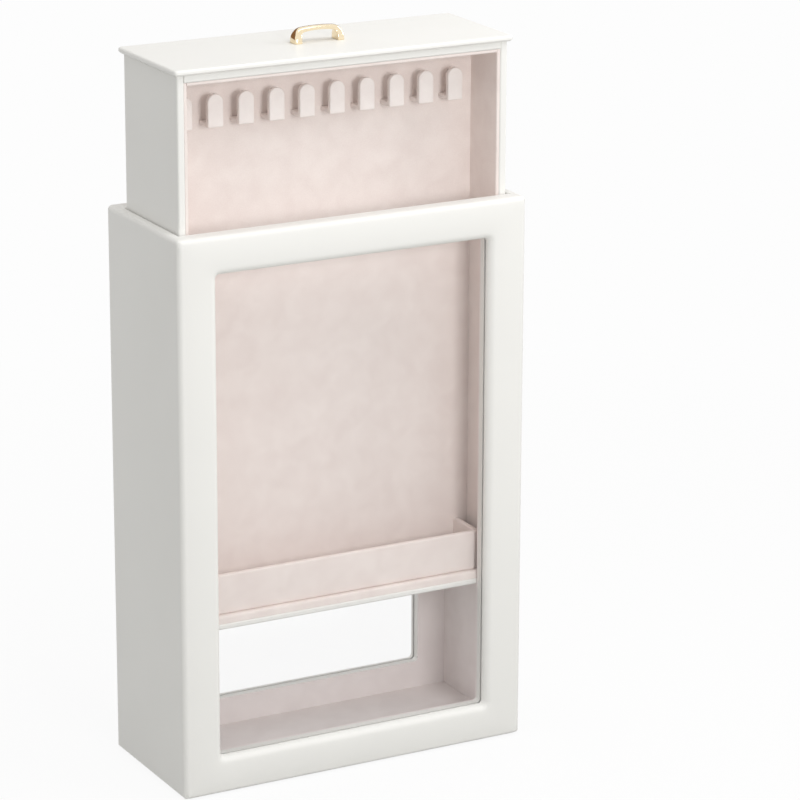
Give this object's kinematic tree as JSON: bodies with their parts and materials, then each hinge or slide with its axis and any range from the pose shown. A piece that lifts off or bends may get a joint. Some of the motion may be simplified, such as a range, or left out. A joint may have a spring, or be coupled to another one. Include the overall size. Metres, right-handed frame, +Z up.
{
  "type": "jewellery box with drawer",
  "caption": "Upright jewellery display case with front and rear windows and a double-sided drawer with hooks and trays that lifts out of the top by its handle.",
  "frame": {"origin": "bottom centre of the case, on the surface that it stands on", "axes": "+Z up along the height, -Y towards the front window, +X to the right seen from the front"},
  "size_m": [0.235, 0.1, 0.4599],
  "materials": {
    "white_leatherette": "fine-grained white leatherette over board, satin",
    "pink_velvet": "short blush velvet over board",
    "gold_handle": "polished pale gold plating",
    "clear_pane": "clear pane, polished",
    "screw_steel": "plain steel, hidden in the lid",
    "base_felt": "thin felt sheet"
  },
  "bodies": {
    "case": {"case_front_frame": "white_leatherette", "case_rear_frame": "white_leatherette", "case_right_panel": "white_leatherette", "case_left_panel": "white_leatherette", "front_pane": "clear_pane", "rear_pane": "clear_pane", "front_backing_frame": "white_leatherette", "rear_backing_frame": "white_leatherette", "front_frame_lining": "pink_velvet", "rear_frame_lining": "pink_velvet", "case_right_lining": "pink_velvet", "case_left_lining": "pink_velvet", "case_base_board": "white_leatherette", "case_floor_lining": "pink_velvet", "base_felt": "base_felt"},
    "drawer": {"lid_panel": "white_leatherette", "lid_handle": "gold_handle", "handle_screws": "screw_steel", "drawer_top_board": "white_leatherette", "drawer_right_wall": "white_leatherette", "drawer_left_wall": "white_leatherette", "drawer_bottom_board": "white_leatherette", "centre_panel": "pink_velvet", "front_right_lining": "pink_velvet", "front_left_lining": "pink_velvet", "rear_right_lining": "pink_velvet", "rear_left_lining": "pink_velvet", "front_top_lining": "pink_velvet", "rear_top_lining": "pink_velvet", "front_floor_pad": "pink_velvet", "rear_floor_pad": "pink_velvet", "front_tray_wall": "pink_velvet", "rear_tray_wall": "pink_velvet", "front_hook_01": "pink_velvet", "front_hook_02": "pink_velvet", "front_hook_03": "pink_velvet", "front_hook_04": "pink_velvet", "front_hook_05": "pink_velvet", "front_hook_06": "pink_velvet", "front_hook_07": "pink_velvet", "front_hook_08": "pink_velvet", "front_hook_09": "pink_velvet", "front_hook_10": "pink_velvet", "rear_hook_01": "pink_velvet", "rear_hook_02": "pink_velvet", "rear_hook_03": "pink_velvet", "rear_hook_04": "pink_velvet", "rear_hook_05": "pink_velvet", "rear_hook_06": "pink_velvet", "rear_hook_07": "pink_velvet", "rear_hook_08": "pink_velvet", "rear_hook_09": "pink_velvet", "rear_hook_10": "pink_velvet"}
  },
  "joints": [
    {"name": "drawer_slide", "type": "slide", "parent": "case", "child": "drawer", "axis": [0, 0, 1], "range_m": [-0.0942, 0.25]}
  ]
}
